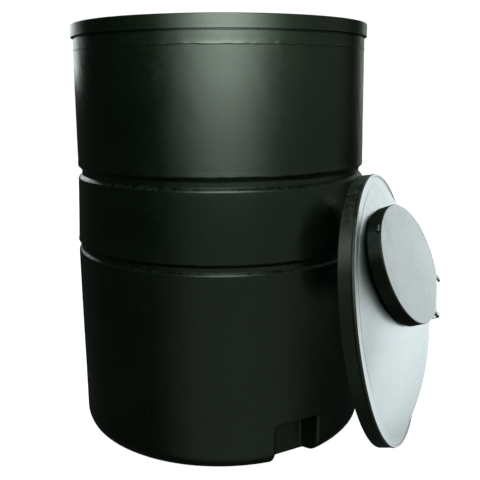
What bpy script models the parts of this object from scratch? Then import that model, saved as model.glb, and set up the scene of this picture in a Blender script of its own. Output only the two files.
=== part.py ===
"""Open-head plastic water tank with its loose domed lid leaning on the wall.

The tank stands on Z = 0 with its axis on the Z axis. The lid leans on the
wall, front right, and carries a hinged access cap. Metres, +Z up.
"""
import math

import bmesh
import bpy
from mathutils import Matrix, Vector

# --- tank, driving dimensions ---
TANK_RADIUS_TOP = 0.565          # wall, just under the rim collar
TANK_RADIUS_UPPER_GROOVE = 0.570
TANK_RADIUS_LOWER_GROOVE = 0.580
TANK_RADIUS_BASE = 0.577
TANK_HEIGHT = 1.604
TANK_WALL = 0.008
BASE_ROUND = 0.069               # radius where the wall turns into the base
UPPER_GROOVE_FOOT = 1.029        # height of the groove's lower edge
UPPER_GROOVE_SPAN = 0.044
UPPER_GROOVE_DEPTH = 0.014
LOWER_GROOVE_FOOT = 0.739
LOWER_GROOVE_SPAN = 0.036
LOWER_GROOVE_DEPTH = 0.011
COLLAR_OVERHANG = 0.010
COLLAR_HEIGHT = 0.048
COLLAR_EDGE = 0.003
SOCKET_DEPTH = 0.053             # the lid drops this far into the mouth
LEDGE_RADIUS = 0.497
FIT_GAP = 0.003                  # lid skirt to socket wall, on the radius

# --- outlet recess in the foot of the wall ---
RECESS_AZIMUTH = math.radians(28.8)   # from the front, toward +X
RECESS_WIDTH = 0.188
RECESS_HEIGHT = 0.162
RECESS_FACE = 0.484              # distance of its flat face from the axis
RECESS_CORNER = 0.014

# --- lid ---
LID_RADIUS = 0.525
LID_WALL = 0.006
SKIRT_DEPTH = 0.054
BEAD_RADIUS = 0.005
DOME_RADIUS = 0.500              # where the dome meets the flat flange
DOME_RISE = 0.138
LID_AZIMUTH = math.radians(66.5)
LID_LEAN = math.radians(9.5)
LID_CLOCKING = math.radians(41.0)     # access cap, from straight up to the front
CAP_OFFSET = 0.268               # access opening, from the lid's axis

# --- access cap, in its own frame: Z outward, hinge on the -X side ---
CAP_RADIUS = 0.218
CAP_WALL = 0.006
CAP_SIDE = 0.052
CAP_TOP = 0.040                  # above the dome, at the opening's centre
CAP_EDGE = 0.005
CAP_FLAT = 0.203                 # flat hinge side, from the cap's axis
NECK_RADIUS = 0.190
NECK_BORE = 0.176
NECK_TOP = 0.026
NECK_ROOT = -0.075               # starts inside the dome
EAR_SPACING = 0.160
EAR_WIDTH = 0.017
EAR_TIP = 0.236
EAR_FOOT = 0.004
EAR_TOP = 0.0385
TAB_WIDTH = 0.030
TAB_REACH = 0.008
TAB_HEIGHT = 0.012

# --- hinge ---
PIN_X = -0.220
PIN_Z = 0.021
PIN_RADIUS = 0.0050
PIN_HEAD_RADIUS = 0.0085
PIN_HEAD_LENGTH = 0.004
CLIP_RADIUS = 0.0095
CLIP_LENGTH = 0.003
KNUCKLE_RADIUS = 0.013
BRACKET_WIDTH = 0.136
BRACKET_FOOT_TOP = -0.018
BRACKET_BACK = -0.268
SCREW_X = -0.253
SCREW_SPACING = 0.090
SCREW_RADIUS = 0.003
SCREW_HEAD_RADIUS = 0.0065
SCREW_HEAD_HEIGHT = 0.004
NUT_RADIUS = 0.0062
NUT_HEIGHT = 0.005

GAP = 0.0003                     # kept between touching pieces
MERGE = 0.0001
TANK_STEPS = 64
LID_STEPS = 64
CAP_STEPS = 48

DOME_SPHERE = (DOME_RADIUS ** 2 + DOME_RISE ** 2) / (2 * DOME_RISE)
DOME_CENTRE_Z = SKIRT_DEPTH + DOME_RISE - DOME_SPHERE
CAP_TILT = math.asin(CAP_OFFSET / DOME_SPHERE)


# --- scene helpers ---

def clear_scene():
    for obj in list(bpy.data.objects):
        bpy.data.objects.remove(obj, do_unlink=True)


def new_collection(name):
    collection = bpy.data.collections.new(name)
    bpy.context.scene.collection.children.link(collection)
    return collection


def plastic(name, colour, roughness, metallic=0.0):
    material = bpy.data.materials.new(name)
    material.use_nodes = True
    shader = material.node_tree.nodes["Principled BSDF"]
    shader.inputs["Base Color"].default_value = (*colour, 1.0)
    shader.inputs["Roughness"].default_value = roughness
    shader.inputs["Metallic"].default_value = metallic
    return material


def new_object(name, mesh, collection, parent=None):
    obj = bpy.data.objects.new(name, mesh)
    collection.objects.link(obj)
    obj.parent = parent
    return obj


def as_cutter(obj):
    obj.hide_render = True
    obj.display_type = "WIRE"
    return obj


def turned(name, points, steps, collection, parent=None, closed=False):
    """A body of revolution about Z: points (radius, height), top to bottom.

    A closed outline stays clear of the axis, and gives a ring.
    """
    mesh = bpy.data.meshes.new(name)
    edges = [(i, i + 1) for i in range(len(points) - 1)]
    if closed:
        edges.append((len(points) - 1, 0))
    mesh.from_pydata([(radius, 0.0, height) for radius, height in points], edges, [])
    obj = new_object(name, mesh, collection, parent)
    screw = obj.modifiers.new("turn", "SCREW")
    screw.axis = "Z"
    screw.angle = math.tau
    screw.steps = steps
    screw.render_steps = steps
    screw.use_merge_vertices = True
    screw.merge_threshold = MERGE
    screw.use_smooth_shade = True
    return obj


def box(name, low, high, collection, parent=None, corner=0.0):
    """A box between two corners, its upright edges rounded when asked."""
    mesh = bpy.data.meshes.new(name)
    body = bmesh.new()
    bmesh.ops.create_cube(body, size=1.0)
    size = Vector(high) - Vector(low)
    middle = (Vector(high) + Vector(low)) / 2
    bmesh.ops.scale(body, vec=size, verts=body.verts)
    bmesh.ops.translate(body, vec=middle, verts=body.verts)
    if corner:
        upright = [e for e in body.edges if abs(e.verts[0].co.z - e.verts[1].co.z) > MERGE]
        bmesh.ops.bevel(body, geom=upright, offset=corner, segments=4, profile=0.5,
                        affect="EDGES")
    body.to_mesh(mesh)
    body.free()
    return new_object(name, mesh, collection, parent)


def rod(name, radius, length, sides, collection, parent=None):
    """A cylinder along Z, from Z = 0 up to its length."""
    mesh = bpy.data.meshes.new(name)
    body = bmesh.new()
    bmesh.ops.create_cone(body, cap_ends=True, segments=sides, radius1=radius,
                          radius2=radius, depth=length)
    bmesh.ops.translate(body, vec=(0, 0, length / 2), verts=body.verts)
    body.to_mesh(mesh)
    body.free()
    obj = new_object(name, mesh, collection, parent)
    if sides > 8:
        mesh.shade_smooth()
        mesh.set_sharp_from_angle(angle=math.radians(40))
    return obj


def along_y(obj, x, y, z):
    obj.rotation_euler = (-math.pi / 2, 0, 0)
    obj.location = (x, y, z)
    return obj


def boolean(target, cutter, operation):
    modifier = target.modifiers.new(operation.lower() + "_" + cutter.name, "BOOLEAN")
    modifier.operation = operation
    modifier.object = cutter


def arc(centre, radius, start, end, count):
    """Points on an arc, angles in degrees from +X toward +Z."""
    steps = [math.radians(start + (end - start) * i / count) for i in range(count + 1)]
    return [(centre[0] + radius * math.cos(a), centre[1] + radius * math.sin(a)) for a in steps]


# --- tank ---

def groove(radius_above, radius_below, foot, span, depth):
    """A rounded groove, from its upper edge down to its lower edge."""
    floor = min(radius_above, radius_below) - depth
    return [
        (radius_above, foot + span),
        (radius_above - 0.25 * depth, foot + 0.93 * span),
        (floor + 0.10 * depth, foot + 0.66 * span),
        (floor, foot + 0.50 * span),
        (floor + 0.12 * depth, foot + 0.32 * span),
        (radius_below - 0.22 * depth, foot + 0.06 * span),
        (radius_below, foot),
    ]


def wall_outline(inset):
    """The tank's wall and base, from under the collar to the axis."""
    upper = TANK_RADIUS_UPPER_GROOVE - inset
    lower = TANK_RADIUS_LOWER_GROOVE - inset
    base = TANK_RADIUS_BASE - inset
    round_radius = BASE_ROUND - inset
    outline = groove(upper, upper, UPPER_GROOVE_FOOT, UPPER_GROOVE_SPAN, UPPER_GROOVE_DEPTH)
    outline += groove(lower, lower, LOWER_GROOVE_FOOT, LOWER_GROOVE_SPAN, LOWER_GROOVE_DEPTH)
    outline += arc((base - round_radius, BASE_ROUND), round_radius, 0, -90, 6)
    return outline + [(0.0, inset)]


def collar_outline():
    """The outside of the rim, from the mouth's axis down to the wall."""
    outer = TANK_RADIUS_TOP + COLLAR_OVERHANG
    foot = TANK_HEIGHT - COLLAR_HEIGHT
    edge = COLLAR_EDGE
    outline = [(0.0, TANK_HEIGHT)]
    outline += arc((outer - edge, TANK_HEIGHT - edge), edge, 90, 0, 3)
    outline += [(outer, foot + edge), (outer - edge, foot), (TANK_RADIUS_TOP, foot)]
    return outline


def hollow_outline():
    """The inside of the tank: socket, ledge, folded rim, wall and base."""
    socket = LID_RADIUS + FIT_GAP
    ledge = TANK_HEIGHT - SOCKET_DEPTH
    under = ledge - TANK_WALL
    inside_wall = TANK_RADIUS_TOP - TANK_WALL
    inside_top = TANK_HEIGHT - TANK_WALL
    above = TANK_HEIGHT + 0.02
    outline = [(0.0, above), (socket, above), (socket, ledge), (LEDGE_RADIUS, ledge)]
    outline += [(LEDGE_RADIUS, under), (socket + TANK_WALL, under)]
    outline += [(socket + TANK_WALL, inside_top), (inside_wall, inside_top)]
    return outline + wall_outline(TANK_WALL)


def recess_cutter(name, wall, collection):
    """The recess as a box turned to its azimuth; wall thickens it inward."""
    reach = 0.15
    cutter = box(name, (-RECESS_WIDTH / 2 - wall, -RECESS_FACE - reach, -0.05),
                 (RECESS_WIDTH / 2 + wall, -RECESS_FACE + wall, RECESS_HEIGHT + wall),
                 collection, corner=RECESS_CORNER + wall)
    cutter.rotation_euler = (0, 0, RECESS_AZIMUTH)
    return as_cutter(cutter)


def build_tank(parts, cutters, material):
    tank = turned("tank_shell", collar_outline() + wall_outline(0.0), TANK_STEPS, parts)
    tank.data.materials.append(material)
    hollow = as_cutter(turned("tank_hollow", hollow_outline(), TANK_STEPS, cutters))
    boolean(hollow, recess_cutter("recess_lining", TANK_WALL, cutters), "DIFFERENCE")
    boolean(tank, recess_cutter("recess", 0.0, cutters), "DIFFERENCE")
    boolean(tank, hollow, "DIFFERENCE")
    return tank


# --- lid ---

def lid_matrix():
    """The lid's frame: origin in its open edge's plane, Z out of its face."""
    lean = LID_LEAN
    side = Vector((math.sin(LID_AZIMUTH), -math.cos(LID_AZIMUTH), 0.0))
    out = side * math.cos(lean) + Vector((0, 0, math.sin(lean)))
    up = Vector((0, 0, math.cos(lean))) - side * math.sin(lean)
    forward = up.cross(out)
    if forward.y > 0:
        forward = -forward
    toward_cap = up * math.cos(LID_CLOCKING) + forward * math.sin(LID_CLOCKING)
    across = out.cross(toward_cap)
    reach = TANK_RADIUS_UPPER_GROOVE + LID_RADIUS * math.sin(lean) + GAP
    centre = side * reach + Vector((0, 0, LID_RADIUS * math.cos(lean)))
    turn = Matrix((toward_cap, across, out)).transposed()
    return Matrix.Translation(centre) @ turn.to_4x4()


def dome(radius_inset, count):
    """The dome's section, from the crown to the flange, inset along its normal."""
    sphere = DOME_SPHERE - radius_inset
    spread = math.degrees(math.asin(DOME_RADIUS / DOME_SPHERE))
    return arc((0.0, DOME_CENTRE_Z), sphere, 90, 90 - spread, count)


def lid_outline():
    """The lid's section: over the dome, bead and skirt, and back under them."""
    under = SKIRT_DEPTH - LID_WALL
    inside = LID_RADIUS - LID_WALL
    bead = arc((LID_RADIUS - BEAD_RADIUS, SKIRT_DEPTH), BEAD_RADIUS, 150, -40, 5)
    skirt = [(LID_RADIUS - 0.0015, under), (LID_RADIUS, 0.0)]
    return dome(0.0, 8) + bead + skirt + [(inside, 0.0), (inside - 0.002, under)] + \
        dome(LID_WALL, 8)[::-1]


def neck_foot_outline():
    """A body that fills the dome up to the middle of its wall."""
    spread = dome(LID_WALL / 2, 8)
    return spread + [(spread[-1][0], -0.05), (0.0, -0.05)]


def cap_frame(lid, name):
    """An empty on the dome, at the access opening's centre, Z along its normal."""
    empty = bpy.data.objects.new(name, None)
    empty.parent = lid
    empty.location = (DOME_SPHERE * math.sin(CAP_TILT), 0.0,
                      DOME_CENTRE_Z + DOME_SPHERE * math.cos(CAP_TILT))
    empty.rotation_euler = (0, CAP_TILT, 0)
    return empty


def screw_holes(target, cutters, frame, label):
    for index, side in enumerate((-1, 1)):
        hole = rod(f"{label}_{index + 1}", SCREW_RADIUS + GAP, 0.08, 12, cutters, frame)
        hole.location = (SCREW_X, side * SCREW_SPACING / 2, -0.07)
        boolean(target, as_cutter(hole), "DIFFERENCE")


def build_lid(parts, cutters, lid_frame, opening, material):
    lid = turned("lid_shell", lid_outline(), LID_STEPS, parts, lid_frame)
    lid.data.materials.append(material)
    neck = rod("neck", NECK_RADIUS, NECK_TOP - NECK_ROOT, CAP_STEPS, cutters, opening)
    neck.location = (0, 0, NECK_ROOT)
    foot = turned("neck_foot", neck_foot_outline(), LID_STEPS, cutters, lid_frame)
    boolean(neck, as_cutter(foot), "DIFFERENCE")
    boolean(lid, as_cutter(neck), "UNION")
    bore = rod("neck_bore", NECK_BORE, 0.30, CAP_STEPS, cutters, opening)
    bore.location = (0, 0, -0.20)
    boolean(lid, as_cutter(bore), "DIFFERENCE")
    screw_holes(lid, cutters, opening, "lid_screw_hole")
    return lid


# --- access cap ---

def cap_outer_outline():
    foot = CAP_TOP - CAP_SIDE
    edge = arc((CAP_RADIUS - CAP_EDGE, CAP_TOP - CAP_EDGE), CAP_EDGE, 90, 0, 3)
    return [(0.0, CAP_TOP)] + edge + [(CAP_RADIUS, foot), (0.0, foot)]


def cap_inner_outline():
    inside = CAP_RADIUS - CAP_WALL
    below = CAP_TOP - CAP_SIDE - 0.02
    return [(0.0, CAP_TOP - CAP_WALL), (inside, CAP_TOP - CAP_WALL), (inside, below), (0.0, below)]


def flat_side_cutter(name, wall, hinge, cutters):
    """Takes the cap's round side off flat, from ear to ear."""
    low = (-CAP_RADIUS - 0.05, -CAP_RADIUS, -0.10)
    return as_cutter(box(name, low, (-CAP_FLAT + wall, CAP_RADIUS, 0.10), cutters, hinge))


def ear_mesh(name, side, hinge, cutters):
    """A lug at one end of the flat side, which takes the pin."""
    near = side * EAR_SPACING / 2 - EAR_WIDTH / 2
    root = -CAP_FLAT + 0.0035
    low = (-EAR_TIP, near, EAR_FOOT)
    return as_cutter(box(name, low, (root, near + EAR_WIDTH, EAR_TOP), cutters, hinge))


def centre_on_hinge(objects):
    """Shifts children of the hinge empty from the cap's frame onto its axis."""
    for obj in objects:
        obj.location = Vector(obj.location) - Vector((PIN_X, 0.0, PIN_Z))


def build_cap(parts, cutters, hinge, material):
    cap = turned("access_cap", cap_outer_outline(), CAP_STEPS, parts, hinge)
    cap.data.materials.append(material)
    inside = as_cutter(turned("cap_inside", cap_inner_outline(), CAP_STEPS, cutters, hinge))
    lining = flat_side_cutter("cap_flat_lining", CAP_WALL - 0.001, hinge, cutters)
    flat = flat_side_cutter("cap_flat", 0.0, hinge, cutters)
    boolean(inside, lining, "DIFFERENCE")
    boolean(cap, flat, "DIFFERENCE")
    boolean(cap, inside, "DIFFERENCE")
    ears = [ear_mesh("ear_front", -1, hinge, cutters), ear_mesh("ear_rear", 1, hinge, cutters)]
    for ear in ears:
        boolean(cap, ear, "UNION")
    half = EAR_SPACING / 2 - EAR_WIDTH / 2
    relief = box("hinge_relief", (-CAP_FLAT - 0.01, -half, -0.10),
                 (-CAP_FLAT + CAP_WALL, half, PIN_Z), cutters, hinge)
    boolean(cap, as_cutter(relief), "DIFFERENCE")
    tab = box("finger_tab", (CAP_RADIUS - 0.004, -TAB_WIDTH / 2, CAP_TOP - 0.006 - TAB_HEIGHT),
              (CAP_RADIUS + TAB_REACH, TAB_WIDTH / 2, CAP_TOP - 0.006), cutters, hinge)
    boolean(cap, as_cutter(tab), "UNION")
    bore = rod("ear_bore", PIN_RADIUS + GAP, 0.24, 16, cutters, hinge)
    along_y(bore, PIN_X, -0.12, PIN_Z)
    boolean(cap, as_cutter(bore), "DIFFERENCE")
    centre_on_hinge([cap, inside, lining, flat, relief, tab, bore] + ears)
    return cap


def build_gasket(parts, hinge, material):
    low = NECK_TOP + GAP
    high = CAP_TOP - CAP_WALL - GAP
    inner = NECK_BORE + 0.001
    outer = NECK_RADIUS - 0.001
    outline = [(inner, high), (outer, high), (outer, low), (inner, low)]
    gasket = turned("cap_gasket", outline, CAP_STEPS, parts, hinge, closed=True)
    gasket.data.materials.append(material)
    centre_on_hinge([gasket])


# --- hinge hardware ---

def build_bracket(parts, cutters, opening, material):
    half = BRACKET_WIDTH / 2
    bracket = box("hinge_bracket", (BRACKET_BACK, -half, -0.060),
                  (PIN_X + KNUCKLE_RADIUS - 0.002, half, BRACKET_FOOT_TOP), parts, opening)
    bracket.data.materials.append(material)
    web = box("bracket_web", (PIN_X - KNUCKLE_RADIUS + 0.002, -half, BRACKET_FOOT_TOP - 0.004),
              (PIN_X + KNUCKLE_RADIUS - 0.002, half, PIN_Z), cutters, opening)
    boolean(bracket, as_cutter(web), "UNION")
    knuckle = rod("bracket_knuckle", KNUCKLE_RADIUS, BRACKET_WIDTH, 24, cutters, opening)
    boolean(bracket, as_cutter(along_y(knuckle, PIN_X, -half, PIN_Z)), "UNION")
    bore = rod("bracket_bore", PIN_RADIUS + GAP, 0.20, 16, cutters, opening)
    boolean(bracket, as_cutter(along_y(bore, PIN_X, -0.10, PIN_Z)), "DIFFERENCE")
    seat = turned("bracket_seat", [(0.0, GAP)] + seat_arc(), LID_STEPS, cutters, opening)
    boolean(bracket, as_cutter(seat), "DIFFERENCE")
    screw_holes(bracket, cutters, opening, "bracket_screw_hole")
    return bracket


def seat_arc():
    """The dome as it falls away from the opening's centre, raised by the gap."""
    sphere = DOME_SPHERE + GAP
    points = arc((0.0, -DOME_SPHERE), sphere, 90, 70, 20)
    return points[1:] + [(points[-1][0], -0.30), (0.0, -0.30)]


def dome_drop(x, y):
    """How far the dome lies below the opening's centre, at a place in its frame."""
    return DOME_SPHERE - math.sqrt(DOME_SPHERE ** 2 - x * x - y * y)


def build_screws(parts, cutters, opening, material):
    for index, side in enumerate((-1, 1)):
        y = side * SCREW_SPACING / 2
        drop = dome_drop(SCREW_X, y)
        under_lid = -drop - LID_WALL * 1.05 - GAP
        nut_foot = under_lid - NUT_HEIGHT - 0.002
        tip = nut_foot - 0.003
        length = BRACKET_FOOT_TOP + SCREW_HEAD_HEIGHT / 2 - tip
        screw = rod(f"bracket_screw_{index + 1}", SCREW_RADIUS, length, 12, parts, opening)
        screw.location = (SCREW_X, y, tip)
        screw.data.materials.append(material)
        head = rod(f"screw_head_{index + 1}", SCREW_HEAD_RADIUS, SCREW_HEAD_HEIGHT, 16, cutters,
                   opening)
        head.location = (SCREW_X, y, BRACKET_FOOT_TOP + GAP)
        boolean(screw, as_cutter(head), "UNION")
        nut = rod(f"bracket_nut_{index + 1}", NUT_RADIUS, NUT_HEIGHT, 6, parts, opening)
        nut.location = (SCREW_X, y, nut_foot)
        nut.data.materials.append(material)
        hole = rod(f"nut_hole_{index + 1}", SCREW_RADIUS + GAP, 0.03, 12, cutters, opening)
        hole.location = (SCREW_X, y, nut_foot - 0.01)
        boolean(nut, as_cutter(hole), "DIFFERENCE")


def build_pin(parts, cutters, opening, material):
    outer = EAR_SPACING / 2 + EAR_WIDTH / 2 + GAP
    start = -outer - PIN_HEAD_LENGTH / 2
    end = outer + 2 * CLIP_LENGTH
    pin = rod("hinge_pin", PIN_RADIUS, end - start, 16, parts, opening)
    along_y(pin, PIN_X, start, PIN_Z)
    pin.data.materials.append(material)
    head = rod("pin_head", PIN_HEAD_RADIUS, PIN_HEAD_LENGTH, 16, cutters, opening)
    along_y(head, PIN_X, -outer - PIN_HEAD_LENGTH, PIN_Z)
    boolean(pin, as_cutter(head), "UNION")
    clip = rod("pin_clip", CLIP_RADIUS, CLIP_LENGTH, 16, parts, opening)
    along_y(clip, PIN_X, outer, PIN_Z)
    clip.data.materials.append(material)
    hole = rod("clip_hole", PIN_RADIUS + GAP, 0.02, 16, cutters, opening)
    along_y(hole, PIN_X, outer - 0.01, PIN_Z)
    boolean(clip, as_cutter(hole), "DIFFERENCE")


def main():
    clear_scene()
    parts = new_collection("open_head_tank")
    cutters = new_collection("cutters")
    black = plastic("black_polyethylene", (0.012, 0.016, 0.014), 0.35)
    rubber = plastic("black_rubber", (0.020, 0.020, 0.020), 0.70)
    steel = plastic("stainless_steel", (0.62, 0.62, 0.60), 0.30, 1.0)

    build_tank(parts, cutters, black)

    lid_frame = bpy.data.objects.new("lid_frame", None)
    lid_frame.matrix_world = lid_matrix()
    opening = cap_frame(lid_frame, "opening_frame")
    hinge = bpy.data.objects.new("cap_hinge", None)
    hinge.parent = opening
    hinge.location = (PIN_X, 0.0, PIN_Z)
    for empty in (lid_frame, opening, hinge):
        parts.objects.link(empty)

    build_lid(parts, cutters, lid_frame, opening, black)
    build_cap(parts, cutters, hinge, black)
    build_gasket(parts, hinge, rubber)
    build_bracket(parts, cutters, opening, black)
    build_screws(parts, cutters, opening, steel)
    build_pin(parts, cutters, opening, steel)


main()
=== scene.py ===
"""Open-head plastic tank with its loose domed lid: the visual model.

Every size here is in metres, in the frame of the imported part: the tank stands
on Z = 0 with its axis on the Z axis, and the lid leans on its wall.
"""
import math

import bmesh
import bpy
import numpy as np
from mathutils import Matrix, Vector


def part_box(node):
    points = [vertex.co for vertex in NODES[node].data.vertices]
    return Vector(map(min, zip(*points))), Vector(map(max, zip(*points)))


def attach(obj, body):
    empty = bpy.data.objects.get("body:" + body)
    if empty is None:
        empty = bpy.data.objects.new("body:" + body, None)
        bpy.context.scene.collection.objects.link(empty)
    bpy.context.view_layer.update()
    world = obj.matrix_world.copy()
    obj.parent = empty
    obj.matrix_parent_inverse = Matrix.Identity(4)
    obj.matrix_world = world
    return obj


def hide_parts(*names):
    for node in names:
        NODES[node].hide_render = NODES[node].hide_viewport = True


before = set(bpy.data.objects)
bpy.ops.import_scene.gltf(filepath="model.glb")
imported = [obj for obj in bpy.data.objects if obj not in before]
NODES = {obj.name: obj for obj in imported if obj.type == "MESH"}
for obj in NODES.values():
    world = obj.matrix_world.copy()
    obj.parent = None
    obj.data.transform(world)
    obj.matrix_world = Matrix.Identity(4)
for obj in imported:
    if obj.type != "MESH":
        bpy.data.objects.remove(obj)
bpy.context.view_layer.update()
HARDWARE = ("hinge_bracket", "hinge_pin", "pin_clip", "bracket_screw_1", "bracket_screw_2",
            "bracket_nut_1", "bracket_nut_2")

# --- driving dimensions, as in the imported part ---
TANK_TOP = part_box("tank_shell")[1][2]
TANK_WALL = 0.008
WALL_RADII = [(1.552, 0.565), (1.073, 0.570), (1.029, 0.570), (0.775, 0.580), (0.739, 0.580),
              (0.069, 0.577)]
BASE_ROUND = 0.069
COLLAR_RADIUS = 0.575
COLLAR_HEIGHT = 0.048
SOCKET_RADIUS = 0.528
SOCKET_DEPTH = 0.053
LEDGE_RADIUS = 0.497
GAP_RADIUS = 0.5592                      # bottom of the thin gap under the collar
GAP_HEIGHT = 0.0048
UPPER_GROOVE = (1.029, 0.044, 0.014)     # foot, span, depth
LOWER_GROOVE = (0.739, 0.036, 0.011)
WALL_SWELL = 0.00055                     # how far a moulded wall strays from true, broad and small
WALL_RIPPLE = 0.00010
PARTING_HEIGHT = 1.509
PARTING_STEP = 0.0032

RECESS_AZIMUTH = math.radians(28.8)
RECESS_WIDTH = 0.188
RECESS_HEIGHT = 0.162
RECESS_DEPTH = 0.085
RECESS_FACE = 0.484
RECESS_CORNER = 0.014

LID_RADIUS = 0.525
LID_WALL = 0.006
SKIRT_DEPTH = 0.054
DOME_RADIUS = 0.500
DOME_RISE = 0.138
LID_AZIMUTH = math.radians(66.5)
LID_LEAN = math.radians(9.5)
LID_CLOCKING = math.radians(41.0)
LID_CONTACT = 0.570                      # the wall's radius where the lid touches it
LID_GAP = 0.0003
CAP_OFFSET = 0.268
DOME_SPHERE = (DOME_RADIUS ** 2 + DOME_RISE ** 2) / (2 * DOME_RISE)
DOME_CENTRE_Z = SKIRT_DEPTH + DOME_RISE - DOME_SPHERE
CAP_TILT = math.asin(CAP_OFFSET / DOME_SPHERE)

CAP_RADIUS = 0.218
CAP_WALL = 0.006
CAP_SIDE = 0.052
CAP_TOP = 0.040
CAP_EDGE = 0.005
CAP_FLAT = 0.203
NECK_RADIUS = 0.190
NECK_BORE = 0.176
NECK_TOP = 0.026
EAR_SPACING = 0.160
EAR_WIDTH = 0.017
EAR_TIP = 0.236
EAR_FOOT = 0.004
EAR_TOP = 0.0385
TAB_WIDTH = 0.030
TAB_REACH = 0.008
TAB_HEIGHT = 0.012
PIN_Z = 0.021

# --- light ---
PAPER = 1.05                             # the white behind the object, as the camera sees it
WORLD_BASE = 0.03
# azimuth from +Y toward +X, elevation, full inside, none past (all in degrees), strength
WORLD_PATCHES = [
    (168.0, -18.0, 8.0, 66.0, 0.34),     # dim front, low
    (100.0, 16.0, 18.0, 44.0, 0.25),     # dim right
    (29.0, 4.0, 4.0, 14.0, 0.55),        # right edge
    (180.0, 42.0, 8.0, 27.0, 3.2),       # overhead, front
    (20.0, 45.0, 10.0, 40.0, 0.25),      # overhead, back
]
FRONT_CURVE = [(1.035, 0.0), (1.070, 0.42), (1.15, 0.38), (1.27, 0.54), (1.34, 0.70), (1.42, 0.97),
               (1.53, 1.05), (1.60, 1.7)]
FRONT_STRENGTH = 4.6

# --- camera ---
CAMERA_PLACE = (0.0, -2.974, 1.3716)
CAMERA_PITCH = 0.2081
CAMERA_YAW = 0.0261
CAMERA_ROLL = -0.0046
CAMERA_LENS = 54.37


def place_camera():
    forward = Vector((math.sin(CAMERA_YAW) * math.cos(CAMERA_PITCH),
                      math.cos(CAMERA_YAW) * math.cos(CAMERA_PITCH), -math.sin(CAMERA_PITCH)))
    right = Vector((math.cos(CAMERA_YAW), -math.sin(CAMERA_YAW), 0.0))
    up = right.cross(forward)
    side = right * math.cos(CAMERA_ROLL) + up * math.sin(CAMERA_ROLL)
    top = up * math.cos(CAMERA_ROLL) - right * math.sin(CAMERA_ROLL)
    data = bpy.data.cameras.new("camera")
    data.lens = CAMERA_LENS
    data.sensor_width = 36.0
    data.clip_end = 100.0
    camera = bpy.data.objects.new("camera", data)
    bpy.context.scene.collection.objects.link(camera)
    turn = Matrix((side, top, -forward)).transposed()
    camera.matrix_world = Matrix.Translation(CAMERA_PLACE) @ turn.to_4x4()
    bpy.context.scene.camera = camera


# --- lid frames ---

def lid_matrix():
    side = Vector((math.sin(LID_AZIMUTH), -math.cos(LID_AZIMUTH), 0.0))
    out = side * math.cos(LID_LEAN) + Vector((0, 0, math.sin(LID_LEAN)))
    up = Vector((0, 0, math.cos(LID_LEAN))) - side * math.sin(LID_LEAN)
    forward = up.cross(out)
    if forward.y > 0:
        forward = -forward
    toward_cap = up * math.cos(LID_CLOCKING) + forward * math.sin(LID_CLOCKING)
    across = out.cross(toward_cap)
    reach = LID_CONTACT + LID_RADIUS * math.sin(LID_LEAN) + LID_GAP
    centre = side * reach + Vector((0, 0, LID_RADIUS * math.cos(LID_LEAN)))
    return Matrix.Translation(centre) @ Matrix((toward_cap, across, out)).transposed().to_4x4()


LID_FRAME = lid_matrix()
OPENING_FRAME = Matrix.Translation((
    DOME_SPHERE * math.sin(CAP_TILT), 0.0,
    DOME_CENTRE_Z + DOME_SPHERE * math.cos(CAP_TILT))) @ Matrix.Rotation(CAP_TILT, 4, "Y")
CAP_FRAME = LID_FRAME @ OPENING_FRAME


# --- mesh helpers ---

def moved(points, matrix):
    """Points, as an array whose last axis is x, y, z, taken through a matrix."""
    rotation = np.array(matrix.to_3x3())
    return points @ rotation.T + np.array(matrix.translation)


def add_object(name, mesh):
    obj = bpy.data.objects.new(name, mesh)
    bpy.context.scene.collection.objects.link(obj)
    return obj


def grid_object(name, rows, loop=False, caps=(None, None)):
    """A closed smooth mesh from rings of points; caps are the points on the axis at its ends."""
    rings, around = rows.shape[:2]
    points = [tuple(p) for p in rows.reshape(-1, 3)]
    faces = []
    for i in range(rings if loop else rings - 1):
        a, b = i * around, ((i + 1) % rings) * around
        for j in range(around):
            k = (j + 1) % around
            faces.append((a + j, a + k, b + k, b + j))
    for cap, start in zip(caps, (0, (rings - 1) * around)):
        if cap is not None:
            centre = len(points)
            points.append(tuple(cap))
            faces += [(centre, start + j, start + (j + 1) % around) for j in range(around)]
    mesh = bpy.data.meshes.new(name)
    mesh.from_pydata(points, [], faces)
    body = bmesh.new()
    body.from_mesh(mesh)
    bmesh.ops.recalc_face_normals(body, faces=body.faces)
    body.to_mesh(mesh)
    body.free()
    mesh.shade_smooth()
    return add_object(name, mesh)


def rounded(corners, step=0.012, segments=6):
    """A path through corners (x, z, radius): straight runs cut into steps, corners as arcs."""
    corners = [(np.array(c[:2]), c[2]) for c in corners]
    path = [corners[0][0]]
    for i in range(1, len(corners) - 1):
        here, radius = corners[i]
        before = corners[i - 1][0] - here
        after = corners[i + 1][0] - here
        before = before / np.linalg.norm(before)
        after = after / np.linalg.norm(after)
        half = math.acos(np.clip(before @ after, -1, 1)) / 2
        if radius <= 0 or half > math.pi / 2 - 0.01:
            path.append(here)
            continue
        reach = radius / math.tan(half)
        middle = before + after
        centre = here + middle / np.linalg.norm(middle) * radius / math.sin(half)
        start = here + before * reach - centre
        end = here + after * reach - centre
        turn = math.atan2(start[0] * end[1] - start[1] * end[0], start @ end)
        for k in range(segments + 1):
            a = turn * k / segments
            c, s = math.cos(a), math.sin(a)
            turned = (c * start[0] - s * start[1], s * start[0] + c * start[1])
            path.append(centre + np.array(turned))
    path.append(corners[-1][0])
    fine = [path[0]]
    for a, b in zip(path, path[1:]):
        length = np.linalg.norm(b - a)
        if length < 1e-6:
            continue
        cuts = max(1, math.ceil(length / step))
        inner = [a + (b - a) * k / cuts for k in range(1, cuts)]
        if length > 0.004:
            inner = [a + (b - a) * 0.0012 / length] + inner + [b - (b - a) * 0.0012 / length]
        fine += inner + [b]
    return np.array(fine)


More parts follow.
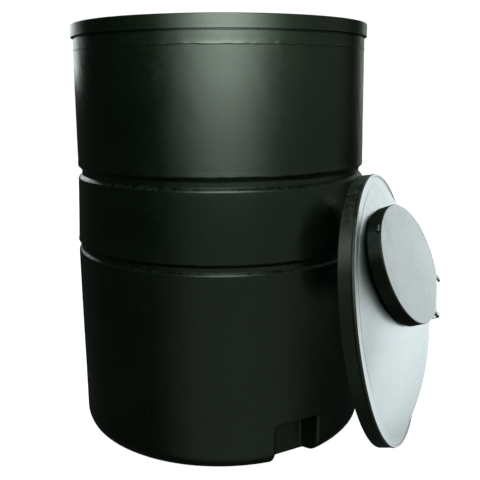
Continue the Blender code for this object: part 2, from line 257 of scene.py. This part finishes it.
def ripple(count, low, high, seed):
    """A seeded sum of waves round a circle, of about unit size: a function of angle."""
    draw = np.random.default_rng(seed)
    waves = draw.integers(low, high + 1, count)
    phases = draw.uniform(0, math.tau, count)
    sizes = draw.uniform(0.4, 1.0, count)
    sizes /= math.sqrt((sizes ** 2).sum() / 2)

    def at(angle):
        return sum(s * np.cos(n * angle + p) for n, p, s in zip(waves, phases, sizes))
    return at


def swell(count, low, high, tall, seed):
    """Like ripple, but also waving along a height: a function of angle and height."""
    draw = np.random.default_rng(seed)
    waves = draw.integers(low, high + 1, count)
    lifts = draw.uniform(-tall, tall, count)
    phases = draw.uniform(0, math.tau, count)

    def at(angle, height):
        total = sum(np.cos(n * angle + t * height + p) for n, t, p in zip(waves, lifts, phases))
        return total / math.sqrt(count / 2)
    return at


def smoothstep(low, high, value):
    t = np.clip((value - low) / (high - low), 0, 1)
    return t * t * (3 - 2 * t)


# --- materials ---

class Graph:
    """Short calls for a material's nodes."""

    def __init__(self, name):
        self.material = bpy.data.materials.new(name)
        self.material.use_nodes = True
        self.tree = self.material.node_tree
        self.shader = self.tree.nodes["Principled BSDF"]
        self.place = self.node("ShaderNodeTexCoord").outputs["Object"]

    @classmethod
    def on(cls, tree, place):
        """The same calls for another node tree, with its own place to start from."""
        made = cls.__new__(cls)
        made.tree, made.place = tree, place
        return made

    def node(self, kind, **values):
        made = self.tree.nodes.new(kind)
        for key, value in values.items():
            setattr(made, key, value)
        return made

    def feed(self, source, socket):
        if hasattr(source, "links"):
            self.tree.links.new(source, socket)
        else:
            socket.default_value = source

    def stretched(self, scale):
        made = self.node("ShaderNodeMapping")
        self.feed(self.place, made.inputs["Vector"])
        made.inputs["Scale"].default_value = scale
        return made.outputs["Vector"]

    def noise(self, scale, detail=3.0, rough=0.5, vector=None, twist=0.0):
        made = self.node("ShaderNodeTexNoise")
        self.feed(vector or self.place, made.inputs["Vector"])
        made.inputs["Scale"].default_value = scale
        made.inputs["Detail"].default_value = detail
        made.inputs["Roughness"].default_value = rough
        made.inputs["Distortion"].default_value = twist
        return made.outputs["Fac"]

    def ramp(self, value, low, high, out_low=0.0, out_high=1.0):
        made = self.node("ShaderNodeMapRange", interpolation_type="SMOOTHSTEP")
        self.feed(value, made.inputs["Value"])
        for key, number in (("From Min", low), ("From Max", high), ("To Min", out_low),
                            ("To Max", out_high)):
            made.inputs[key].default_value = number
        return made.outputs["Result"]

    def ramp_line(self, value, low, high):
        made = self.node("ShaderNodeMapRange")
        self.feed(value, made.inputs["Value"])
        made.inputs["From Min"].default_value = low
        made.inputs["From Max"].default_value = high
        return made.outputs["Result"]

    def maths(self, operation, a, b=0.0, clamp=False):
        made = self.node("ShaderNodeMath", operation=operation, use_clamp=clamp)
        self.feed(a, made.inputs[0])
        self.feed(b, made.inputs[1])
        return made.outputs[0]

    def mix(self, factor, a, b):
        made = self.node("ShaderNodeMix", data_type="RGBA")
        self.feed(factor, made.inputs["Factor"])
        self.feed(a, made.inputs["A"])
        self.feed(b, made.inputs["B"])
        return made.outputs["Result"]

    def bump(self, height, strength, distance, before=None):
        made = self.node("ShaderNodeBump")
        made.inputs["Strength"].default_value = strength
        made.inputs["Distance"].default_value = distance
        self.feed(height, made.inputs["Height"])
        if before:
            self.feed(before, made.inputs["Normal"])
        return made.outputs["Normal"]

    def part(self, vector, axis):
        made = self.node("ShaderNodeSeparateXYZ")
        self.feed(vector, made.inputs[0])
        return made.outputs[axis]


def black_plastic(name, peel_depth=0.35, gloss=(0.22, 0.34)):
    """Rotomoulded black polyethylene: low peel, cloudy gloss, rubs and a little dust."""
    dark, pale = (0.0014, 0.0046, 0.0018, 1), (0.0028, 0.0068, 0.0034, 1)
    g = Graph(name)
    cloud = g.noise(3.5, 4.0, 0.55)
    fleck = g.noise(46.0, 5.0, 0.6)
    grain = g.noise(720.0, 2.0, 0.5)
    rub = g.ramp(g.noise(9.0, 6.0, 0.62, vector=g.stretched((1.0, 1.0, 0.22)), twist=0.4),
                 0.56, 0.74)
    scratch = g.ramp(g.noise(130.0, 3.0, 0.7, vector=g.stretched((1.0, 1.0, 0.035))), 0.66, 0.72)
    mixture = g.maths("ADD", g.maths("MULTIPLY", cloud, 0.6), g.maths("MULTIPLY", fleck, 0.4))
    colour = g.mix(g.ramp(mixture, 0.35, 0.65), dark, pale)
    marks = g.maths("MULTIPLY", rub, scratch)
    colour = g.mix(g.maths("MULTIPLY", marks, 0.5), colour, (0.030, 0.034, 0.031, 1))
    upward = g.part(g.node("ShaderNodeNewGeometry").outputs["Normal"], "Z")
    dust = g.maths("MULTIPLY", g.ramp(upward, 0.25, 0.95), g.ramp(fleck, 0.38, 0.70))
    colour = g.mix(g.maths("MULTIPLY", dust, 0.25), colour, (0.050, 0.050, 0.046, 1))
    g.feed(colour, g.shader.inputs["Base Color"])
    rough = g.ramp(mixture, 0.30, 0.70, *gloss)
    rough = g.maths("ADD", rough, g.maths("MULTIPLY", g.maths("ADD", rub, dust), 0.06))
    rough = g.maths("ADD", rough, g.maths("MULTIPLY", marks, 0.12), clamp=True)
    g.feed(rough, g.shader.inputs["Roughness"])
    peel = g.noise(95.0, 2.0, 0.5)
    normal = g.bump(peel, peel_depth, 0.0006)
    normal = g.bump(grain, 0.25, 0.00012, normal)
    normal = g.bump(scratch, 0.20, 0.00008, normal)
    g.feed(normal, g.shader.inputs["Normal"])
    return g.material


def gasket_rubber():
    g = Graph("gasket_rubber")
    cloud = g.noise(28.0, 4.0, 0.6)
    g.feed(g.mix(cloud, (0.013, 0.013, 0.013, 1), (0.032, 0.031, 0.030, 1)),
           g.shader.inputs["Base Color"])
    g.feed(g.ramp(cloud, 0.3, 0.7, 0.62, 0.82), g.shader.inputs["Roughness"])
    g.feed(g.bump(g.noise(900.0, 2.0, 0.5), 0.3, 0.0002), g.shader.inputs["Normal"])
    return g.material


def brushed_steel():
    g = Graph("stainless_steel")
    brush = g.noise(420.0, 3.0, 0.6, vector=g.stretched((1.0, 0.06, 1.0)))
    cloud = g.noise(60.0, 3.0, 0.5)
    g.feed(g.mix(cloud, (0.50, 0.50, 0.49, 1), (0.66, 0.66, 0.64, 1)),
           g.shader.inputs["Base Color"])
    g.shader.inputs["Metallic"].default_value = 1.0
    g.feed(g.ramp(brush, 0.3, 0.7, 0.24, 0.42), g.shader.inputs["Roughness"])
    g.feed(g.bump(brush, 0.2, 0.0001), g.shader.inputs["Normal"])
    return g.material


# --- tank ---

def wall_radius(z):
    heights = [h for h, _ in WALL_RADII][::-1]
    return float(np.interp(z, heights, [r for _, r in WALL_RADII][::-1]))


def tank_corners():
    """The tank's outer section from the mouth's edge to the axis, as corners."""
    top = TANK_TOP
    collar_foot = top - COLLAR_HEIGHT
    gap_foot = collar_foot - GAP_HEIGHT
    corners = [(SOCKET_RADIUS + 0.004, top, 0), (COLLAR_RADIUS, top, 0.0045),
               (COLLAR_RADIUS, collar_foot + 0.012, 0.010),
               (COLLAR_RADIUS + 0.0008, collar_foot, 0.0022), (GAP_RADIUS, collar_foot, 0.0010),
               (GAP_RADIUS, gap_foot, 0.0010), (0.5662, gap_foot, 0.0016)]
    for foot, span, depth in (UPPER_GROOVE, LOWER_GROOVE):
        above, below = wall_radius(foot + span), wall_radius(foot)
        corners += [(wall_radius(foot + span + 0.022), foot + span + 0.022, 0.05),
                    (above + 0.0012, foot + span + 0.003, 0.006),
                    (above - 0.96 * depth, foot + 0.68 * span, 0.012),
                    (below - 0.96 * depth, foot + 0.25 * span, 0.0015),
                    (below + 0.0009, foot - 0.001, 0.0100)]
    return corners


def tank_path():
    path = rounded(tank_corners() + [(0.577, BASE_ROUND, 0.0)], step=0.014)
    quarter = np.radians(np.linspace(0, -90, 40))
    centre = 0.577 - BASE_ROUND
    foot = np.stack([centre + BASE_ROUND * np.cos(quarter),
                     BASE_ROUND + BASE_ROUND * np.sin(quarter)], axis=1)
    floor = np.array([(r, 0.0) for r in np.linspace(centre - 0.02, 0.03, 12)])
    return path, np.vstack([foot[1:], floor])


def inner_path():
    """The tank's inner section, from the axis up to the mouth's edge."""
    top, wall = TANK_TOP, TANK_WALL
    ledge = top - SOCKET_DEPTH
    corners = [(0.03, wall, 0), (0.569, wall, 0.061), (0.572, 0.739, 0.01),
               (0.572 - 0.011, 0.757, 0.008), (0.572, 0.775, 0.01), (0.562, 1.029, 0.01),
               (0.562 - 0.014, 1.051, 0.008), (0.562, 1.073, 0.01),
               (0.557, top - wall, 0.004), (0.536, top - wall, 0.004), (0.536, ledge - wall, 0.002),
               (LEDGE_RADIUS, ledge - wall, 0.0035), (LEDGE_RADIUS, ledge, 0.0035),
               (SOCKET_RADIUS, ledge, 0.003), (SOCKET_RADIUS, top, 0.004),
               (SOCKET_RADIUS + 0.004, top, 0)]
    return rounded(corners, step=0.03, segments=4)[:-1]


def refine(heights_path, low, high, step):
    """The path with its straight runs cut finer between two heights."""
    out = [heights_path[0]]
    for a, b in zip(heights_path, heights_path[1:]):
        length = np.linalg.norm(b - a)
        if low < (a[1] + b[1]) / 2 < high and length > step:
            cuts = math.ceil(length / step)
            out += [a + (b - a) * k / cuts for k in range(1, cuts)]
        out.append(b)
    return np.array(out)


# the recess's edge: distance past its outline and depth
RECESS_SECTION = rounded([(0.060, 0.0, 0), (0.0, 0.0, 0.012), (-0.008, RECESS_DEPTH, 0.010),
                         (-0.060, RECESS_DEPTH, 0)], step=0.004, segments=8)


def recess_mask(across, height):
    """How much of its depth the recess has, from 1 inside to 0 past its rounded edges."""
    half = RECESS_WIDTH / 2 - RECESS_CORNER
    top = RECESS_HEIGHT - RECESS_CORNER
    dx = np.maximum(np.abs(across) - half, 0)
    dz = np.maximum(height - top, 0)
    edge = np.hypot(dx, dz) - RECESS_CORNER
    path = RECESS_SECTION[np.argsort(RECESS_SECTION[:, 0], kind="stable")]
    return np.interp(edge, path[:, 0], path[:, 1] / RECESS_DEPTH)


def tank_angles():
    """Angles round the tank from -Y toward +X, closest together at the recess's two sides."""
    side = math.asin(RECESS_WIDTH / 2 / 0.577)
    near = np.linspace(-0.030, 0.030, 64)
    reach = side + 0.030
    left, right = RECESS_AZIMUTH - side + near, RECESS_AZIMUTH + side + near
    middle = np.linspace(left[-1], right[0], 24)[1:-1]
    rest = np.linspace(RECESS_AZIMUTH + reach, RECESS_AZIMUTH - reach + math.tau, 330)[1:-1]
    return np.concatenate([left, middle, right, rest])


def build_tank(material):
    path, foot = tank_path()
    path = refine(path, 0.0, 0.140, 0.0060)
    path = refine(path, 0.138, 0.190, 0.0011)
    path = refine(path, PARTING_HEIGHT - 0.012, PARTING_HEIGHT + 0.022, 0.0011)
    outer = np.vstack([path, foot])
    angle = tank_angles()[None, :]
    radius = outer[:, :1] + 0 * angle
    height = outer[:, 1:] + 0 * angle
    flat = smoothstep(0.0, 0.03, height) * smoothstep(1.604, 1.590, height)
    broad = swell(26, 1, 9, 9.0, 11)(angle, height)
    small = swell(40, 12, 60, 55.0, 12)(angle, height)
    radius += flat * (WALL_SWELL * broad + WALL_RIPPLE * small)
    line = height - PARTING_HEIGHT - 0.0010 * ripple(22, 8, 70, 3)(angle)
    ridge = np.where(line > 0, np.exp(-line / 0.006), np.exp(-(line / 0.0016) ** 2))
    front = 0.30 + 0.70 * np.exp(-((np.cos(angle) - 1) / 0.10) ** 2)
    radius += ridge * front * (PARTING_STEP + 0.0007 * ripple(26, 10, 90, 4)(angle))
    for (foot_z, span, _), size, seed in ((UPPER_GROOVE, 0.0006, 5), (LOWER_GROOVE, 0.0004, 6)):
        lip = np.exp(-((height - foot_z - span - 0.002) / 0.007) ** 2)
        height += lip * size * ripple(20, 5, 60, seed)(angle)
        radius += lip * size * 0.6 * ripple(20, 8, 70, seed + 20)(angle)
    turn = angle - RECESS_AZIMUTH
    across = radius * np.sin(turn)
    depth = np.maximum(radius * np.cos(turn) - RECESS_FACE, 0)
    near = np.cos(turn) > 0.5
    radius -= near * recess_mask(across, height) * depth / np.maximum(np.cos(turn), 0.5)
    rows = np.stack([radius * np.sin(angle), -radius * np.cos(angle), height], axis=2)

    inner = inner_path()
    r_in = inner[:, :1] + 0 * angle
    z_in = inner[:, 1:] + 0 * angle
    across = r_in * np.sin(turn)
    depth = np.maximum(r_in * np.cos(turn) - RECESS_FACE + TANK_WALL, 0)
    wide = recess_mask(across * 0.9, (z_in - TANK_WALL) * 0.95)
    r_in = r_in - near * wide * depth / np.maximum(np.cos(turn), 0.5)
    inside = np.stack([r_in * np.sin(angle), -r_in * np.cos(angle), z_in], axis=2)
    everything = np.vstack([rows[::-1], inside[::-1]])
    tank = grid_object("tank_body", everything, caps=((0, 0, 0), (0, 0, TANK_WALL)))
    tank.data.materials.append(material)
    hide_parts("tank_shell")
    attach(tank, "tank")


# --- lid ---

LID_STEPS = 288


def ring(path, spin):
    """Rows of points turned about the lid's axis from a path of radius and height."""
    r, z = path[:, :1], path[:, 1:]
    return np.stack([r * np.cos(spin), r * np.sin(spin), z + 0 * spin[None, :]], axis=2)


def opening_ring(path, spin):
    """The same about the access opening's axis, then taken into the lid's frame."""
    return moved(ring(path, spin), OPENING_FRAME)


def across_dome(start, end, radius, count):
    """Rows over a sphere between two rings of points, along great circles."""
    centre = np.array((0, 0, DOME_CENTRE_Z))
    a = (start - centre) / np.linalg.norm(start - centre, axis=1)[:, None]
    b = (end - centre) / np.linalg.norm(end - centre, axis=1)[:, None]
    angle = np.arccos(np.clip((a * b).sum(1), -1, 1))[:, None]
    rows = []
    for t in np.linspace(0, 1, count + 2)[1:-1]:
        between = (np.sin((1 - t) * angle) * a + np.sin(t * angle) * b) / np.sin(angle)
        rows.append(centre + radius * between)
    return np.array(rows)


def build_lid(material):
    spin = np.linspace(0, math.tau, LID_STEPS, endpoint=False)
    drop = DOME_SPHERE - math.sqrt(DOME_SPHERE ** 2 - NECK_RADIUS ** 2)
    neck = rounded([(NECK_BORE, -0.020, 0), (NECK_BORE, NECK_TOP, 0.002),
                    (NECK_RADIUS, NECK_TOP, 0.002), (NECK_RADIUS, -drop, 0.005),
                    (NECK_RADIUS + 0.02, -drop - 0.0045, 0)], step=0.006)
    neck_rows = opening_ring(neck, spin)
    flange = SKIRT_DEPTH
    skirt = LID_RADIUS - LID_WALL
    rim = rounded([(DOME_RADIUS - 0.012, flange + 0.0062, 0),
                   (DOME_RADIUS + 0.001, flange + 0.0004, 0.004),
                   (0.5135, flange, 0.003), (0.5150, flange + 0.0052, 0.0022),
                   (0.5225, flange + 0.0050, 0.0030), (LID_RADIUS, flange - 0.004, 0.004),
                   (LID_RADIUS - 0.0012, flange - 0.010, 0.006), (LID_RADIUS, 0.0, 0.0015),
                   (skirt, 0.0, 0.0015), (skirt - 0.002, flange - LID_WALL, 0.004),
                   (DOME_RADIUS - 0.010, flange - 0.0015, 0)], step=0.008)
    rim_rows = ring(rim, spin)
    outer = across_dome(neck_rows[-1], rim_rows[0], DOME_SPHERE, 56)
    radius_in = DOME_SPHERE - LID_WALL
    tilt = math.asin(NECK_BORE / radius_in)
    sink = DOME_SPHERE - radius_in * math.cos(tilt)
    bore = opening_ring(np.array([(NECK_BORE + 0.003, -sink - 0.0005),
                                  (NECK_BORE, -sink + 0.002)]), spin)
    inner = across_dome(rim_rows[-1], bore[0], radius_in, 40)
    rows = np.concatenate([neck_rows, outer, rim_rows, inner, bore])
    centre = np.array((0, 0, DOME_CENTRE_Z))
    out = rows - centre
    distance = np.linalg.norm(out, axis=2, keepdims=True)
    wave = swell(22, 1, 6, 14.0, 31)(spin[None, :], rows[:, :, 0])
    skin = np.zeros(len(rows))
    start = len(neck_rows)
    skin[start:start + len(outer)] = np.sin(np.linspace(0, math.pi, len(outer))) ** 0.5
    rows = rows + out / distance * (0.0007 * wave * skin[:, None])[:, :, None]
    lid = grid_object("lid_body", moved(rows, LID_FRAME), loop=True)
    lid.data.materials.append(material)
    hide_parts("lid_shell")
    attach(lid, "lid")
    return lid


# --- access cap ---

def cap_outline(count=360):
    """The cap's outline seen from above: a circle with one flat side, corners eased."""
    corner = 0.012
    reach = CAP_RADIUS - corner
    low = math.sqrt(reach ** 2 - (CAP_FLAT - corner) ** 2)
    turn = math.atan2(low, CAP_FLAT - corner)
    flat = [(-CAP_FLAT, y) for y in np.linspace(-low, low, 80)]
    edge = [(-(CAP_FLAT - corner) - corner * math.cos(a), low + corner * math.sin(a))
            for a in np.linspace(0, turn, 8)[1:]]
    round_side = [(CAP_RADIUS * math.cos(a), CAP_RADIUS * math.sin(a))
                  for a in np.linspace(math.pi - turn, -math.pi + turn, count - 94)[1:]]
    other = [(x, -y) for x, y in edge[::-1]][1:]
    return np.array(flat + edge + round_side + other)


def cap_profile():
    """The cap's section as inset from its outline and height, outside then inside."""
    foot = CAP_TOP - CAP_SIDE
    return rounded([(0.0105, CAP_TOP, 0), (0, CAP_TOP, CAP_EDGE), (0, foot, 0.0012),
                    (CAP_WALL - 0.001, foot, 0.0012), (CAP_WALL, CAP_TOP - CAP_WALL, 0.003),
                    (0.0105, CAP_TOP - CAP_WALL, 0)], step=0.006)


def build_cap(material):
    outline = cap_outline()
    ahead = np.roll(outline, -1, axis=0) - np.roll(outline, 1, axis=0)
    normal = np.stack([ahead[:, 1], -ahead[:, 0]], axis=1)
    normal /= np.linalg.norm(normal, axis=1)[:, None]
    if (normal * outline).sum() < 0:
        normal = -normal
    profile = cap_profile()
    rows = []
    for inset, z in profile:
        flat = outline - normal * inset
        rows.append(np.column_stack([flat, np.full(len(flat), z)]))
    rows = np.array(rows)
    between = (np.abs(outline[:, 1]) < EAR_SPACING / 2 - EAR_WIDTH / 2) & (outline[:, 0] < 0)
    lowest = CAP_TOP - CAP_SIDE
    lift = (PIN_Z - 0.0005 - lowest) * between
    share = np.clip((PIN_Z + 0.006 - rows[:, :, 2]) / (PIN_Z + 0.006 - lowest), 0, 1)
    rows[:, :, 2] += lift[None, :] * share
    first, last = rows[0], rows[-1]
    tops = [first * (t, t, 1) for t in np.linspace(0.03, 1, 14)[:-1]]
    draw = np.random.default_rng(41)
    ways = draw.uniform(-26, 26, (9, 2))
    phases = draw.uniform(0, math.tau, 9)
    for ringed in tops:
        spread = np.hypot(ringed[:, 0], ringed[:, 1]) / CAP_RADIUS
        wave = sum(np.cos(ringed[:, :2] @ way + p) for way, p in zip(ways, phases)) / 3
        ringed[:, 2] += 0.00022 * np.clip(1.6 * (1 - spread), 0, 1) * wave - 0.0006 * (1 - spread)
    inner = [last * (t, t, 1) for t in np.linspace(1, 0.03, 10)[1:]]
    rows = np.concatenate([np.array(tops), rows, np.array(inner)])
    ends = ((0, 0, CAP_TOP - 0.0008), (0, 0, CAP_TOP - CAP_WALL))
    rows = moved(rows, CAP_FRAME)
    ends = [tuple(CAP_FRAME @ Vector(p)) for p in ends]
    cap = grid_object("cap_body", rows, caps=ends)
    cap.data.materials.append(material)
    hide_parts("access_cap")
    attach(cap, "cap")
    ears = [soft_box(f"cap_ear_{n}", (-EAR_TIP, side * EAR_SPACING / 2 - EAR_WIDTH / 2, EAR_FOOT),
                     (-CAP_FLAT + 0.004, side * EAR_SPACING / 2 + EAR_WIDTH / 2, EAR_TOP), 0.0028)
            for n, side in ((1, -1), (2, 1))]
    tab_top = CAP_TOP - 0.006
    tab = soft_box("finger_tab", (CAP_RADIUS - 0.004, -TAB_WIDTH / 2, tab_top - TAB_HEIGHT),
                   (CAP_RADIUS + TAB_REACH, TAB_WIDTH / 2, tab_top), 0.003)
    for piece in ears + [tab]:
        piece.data.materials.append(material)
        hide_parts("access_cap")
        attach(piece, "cap")
    return [cap] + ears + [tab]


def soft_box(name, low, high, edge, segments=4):
    """A block with rounded edges, given in the access opening's frame."""
    body = bmesh.new()
    bmesh.ops.create_cube(body, size=1.0)
    size = Vector(high) - Vector(low)
    middle = (Vector(high) + Vector(low)) / 2
    bmesh.ops.scale(body, vec=size, verts=body.verts)
    bmesh.ops.translate(body, vec=middle, verts=body.verts)
    bmesh.ops.bevel(body, geom=body.edges[:], offset=edge, segments=segments, profile=0.5,
                    affect="EDGES")
    mesh = bpy.data.meshes.new(name)
    body.to_mesh(mesh)
    body.free()
    mesh.transform(CAP_FRAME)
    mesh.shade_smooth()
    return add_object(name, mesh)


# --- carried-over pieces ---

def dress(node, material):
    slots = NODES[node].material_slots
    if not slots:
        NODES[node].data.materials.append(material)
    for slot in NODES[node].material_slots:
        slot.material = material


# --- studio ---

def world_light():
    world = bpy.data.worlds.new("studio")
    bpy.context.scene.world = world
    world.use_nodes = True
    tree = world.node_tree
    tree.nodes.clear()
    link = tree.links.new
    place = tree.nodes.new("ShaderNodeTexCoord").outputs["Generated"]

    def lobe(azimuth, elevation, inner, outer, strength):
        """A soft round patch of light, full inside one angle and none past another, in degrees."""
        a, e = math.radians(azimuth), math.radians(elevation)
        axis = (math.sin(a) * math.cos(e), math.cos(a) * math.cos(e), math.sin(e))
        dot = tree.nodes.new("ShaderNodeVectorMath")
        dot.operation = "DOT_PRODUCT"
        link(place, dot.inputs[0])
        dot.inputs[1].default_value = axis
        ramp = tree.nodes.new("ShaderNodeMapRange")
        ramp.interpolation_type = "SMOOTHSTEP"
        link(dot.outputs["Value"], ramp.inputs["Value"])
        ramp.inputs["From Min"].default_value = math.cos(math.radians(outer))
        ramp.inputs["From Max"].default_value = math.cos(math.radians(inner))
        ramp.inputs["To Max"].default_value = strength
        return ramp.outputs["Result"]

    total = None
    for patch in WORLD_PATCHES:
        value = lobe(*patch)
        if total is None:
            total = value
        else:
            add = tree.nodes.new("ShaderNodeMath")
            link(total, add.inputs[0])
            link(value, add.inputs[1])
            total = add.outputs[0]
    base = tree.nodes.new("ShaderNodeMath")
    link(total, base.inputs[0])
    base.inputs[1].default_value = WORLD_BASE
    soft = tree.nodes.new("ShaderNodeBackground")
    soft.inputs["Color"].default_value = (0.80, 1.0, 0.80, 1)
    link(base.outputs[0], soft.inputs["Strength"])
    paper = tree.nodes.new("ShaderNodeBackground")
    paper.inputs["Color"].default_value = (1, 1, 1, 1)
    paper.inputs["Strength"].default_value = PAPER
    seen = tree.nodes.new("ShaderNodeLightPath").outputs["Is Camera Ray"]
    mix = tree.nodes.new("ShaderNodeMixShader")
    link(seen, mix.inputs[0])
    link(soft.outputs[0], mix.inputs[1])
    link(paper.outputs[0], mix.inputs[2])
    link(mix.outputs[0], tree.nodes.new("ShaderNodeOutputWorld").inputs["Surface"])


def board(name, middle, facing, size, colour, falloff, lit=None):
    """A glowing board that only shows in reflections; falloff builds its brightness.

    lit names the objects it lights, when it isn't for all of them.
    """
    data = bpy.data.lights.new(name, "AREA")
    data.shape = "RECTANGLE"
    data.size, data.size_y = size
    data.energy = math.pi * size[0] * size[1]
    data.color = colour
    data.use_nodes = True
    tree = data.node_tree
    place = tree.nodes.new("ShaderNodeNewGeometry").outputs["Position"]
    glow = next(node for node in tree.nodes if node.type == "EMISSION")
    g = Graph.on(tree, place)
    g.feed(falloff(g), glow.inputs["Strength"])
    light = add_object(name, data)
    light.location = middle
    light.rotation_euler = Vector(facing).to_track_quat("-Z", "Y").to_euler()
    light.visible_camera = False
    if lit:
        group = bpy.data.collections.new(name)
        for piece in lit:
            group.objects.link(piece)
        light.light_linking.receiver_collection = group


def bell(g, value, middle, width):
    """exp(-((value - middle) / width)^2 / 2)"""
    off = g.maths("DIVIDE", g.maths("SUBTRACT", value, middle), width)
    return g.maths("EXPONENT", g.maths("MULTIPLY", g.maths("MULTIPLY", off, off), -0.5))


def curve(g, value, low, high, stops):
    """A smooth curve through (value, brightness) stops."""
    made = g.node("ShaderNodeValToRGB")
    made.color_ramp.interpolation = "EASE"
    g.feed(g.ramp_line(value, low, high), made.inputs[0])
    points = made.color_ramp.elements
    for i, (at, bright) in enumerate(stops):
        point = points[i] if i < 2 else points.new(1.0)
        point.position = (at - low) / (high - low)
        point.color = (bright, bright, bright, 1)
    return made.outputs[0]


def front_falloff(g):
    across = bell(g, g.part(g.place, "X"), 0.04, 0.185)
    along = curve(g, g.part(g.place, "Z"), 0.9, 1.9, FRONT_CURVE)
    return g.maths("MULTIPLY", g.maths("MULTIPLY", across, along), FRONT_STRENGTH)


def lid_falloff(g):
    y, z = g.part(g.place, "Y"), g.part(g.place, "Z")
    bend = g.maths("MULTIPLY", g.maths("MULTIPLY", y, y), 0.35)
    fall = g.maths("ADD", g.maths("MULTIPLY", y, -1.5), bend)
    rise = g.maths("ADD", g.maths("MULTIPLY", z, 0.62), 1.40)
    bright = g.maths("EXPONENT", g.maths("ADD", fall, rise))
    return g.maths("MULTIPLY", g.maths("MINIMUM", bright, 11.0), g.ramp(y, -1.6, -0.9))


def left_falloff(g):
    return g.ramp(g.part(g.place, "Z"), 1.30, 1.62, 0.0, 2.5)


def cap_falloff(g):
    return g.ramp(g.part(g.place, "Z"), 0.0, 1.2, 4.5, 4.9)


def studio(lid_pieces, cap_pieces):
    board("front_board", (0.04, -0.80, 1.45), (0, 1, 0), (1.32, 0.90), (0.85, 1.0, 0.88),
          front_falloff)
    board("left_board", (-2.0, 2.4, 2.28), (0.5, -0.85, -0.25), (1.3, 1.8), (0.90, 1.0, 0.95),
          left_falloff)
    board("lid_board", (1.3, 0.4, 0.35), (-1, 0, 0), (4.0, 3.1), (0.87, 0.97, 1.0), lid_falloff,
          lid_pieces)
    board("cap_board", (1.5, 0.2, 0.85), (-1, 0, 0), (1.6, 1.7), (0.88, 0.98, 1.0), cap_falloff,
          cap_pieces)
    mesh = bpy.data.meshes.new("floor")
    mesh.from_pydata([(-9, -9, 0), (9, -9, 0), (9, 9, 0), (-9, 9, 0)], [], [(0, 1, 2, 3)])
    floor = add_object("floor", mesh)
    g = Graph("pale_floor")
    g.feed(g.mix(g.noise(1.5), (0.80, 0.80, 0.79, 1), (0.84, 0.84, 0.83, 1)),
           g.shader.inputs["Base Color"])
    g.shader.inputs["Roughness"].default_value = 0.9
    g.shader.inputs["Emission Color"].default_value = (1, 1, 1, 1)
    g.shader.inputs["Emission Strength"].default_value = 0.95
    mesh.materials.append(g.material)
    floor.visible_glossy = False
    floor.visible_diffuse = False
    bpy.context.scene.view_settings.view_transform = "Standard"


place_camera()
world_light()
TANK_PLASTIC = black_plastic("tank_plastic")
LID_PLASTIC = black_plastic("lid_plastic", peel_depth=0.12, gloss=(0.34, 0.44))
CAP_PLASTIC = black_plastic("cap_plastic", peel_depth=0.12, gloss=(0.30, 0.40))
RUBBER = gasket_rubber()
STEEL = brushed_steel()
build_tank(TANK_PLASTIC)
lid_body = build_lid(LID_PLASTIC)
cap_bodies = build_cap(CAP_PLASTIC)
dress("hinge_bracket", LID_PLASTIC)
dress("cap_gasket", RUBBER)
for steel_node in HARDWARE[1:]:
    dress(steel_node, STEEL)
hardware = [NODES[name] for name in HARDWARE]
lid_body.visible_glossy = False         # its dark inside stays out of the wall's reflections
studio([lid_body] + hardware, cap_bodies + hardware)
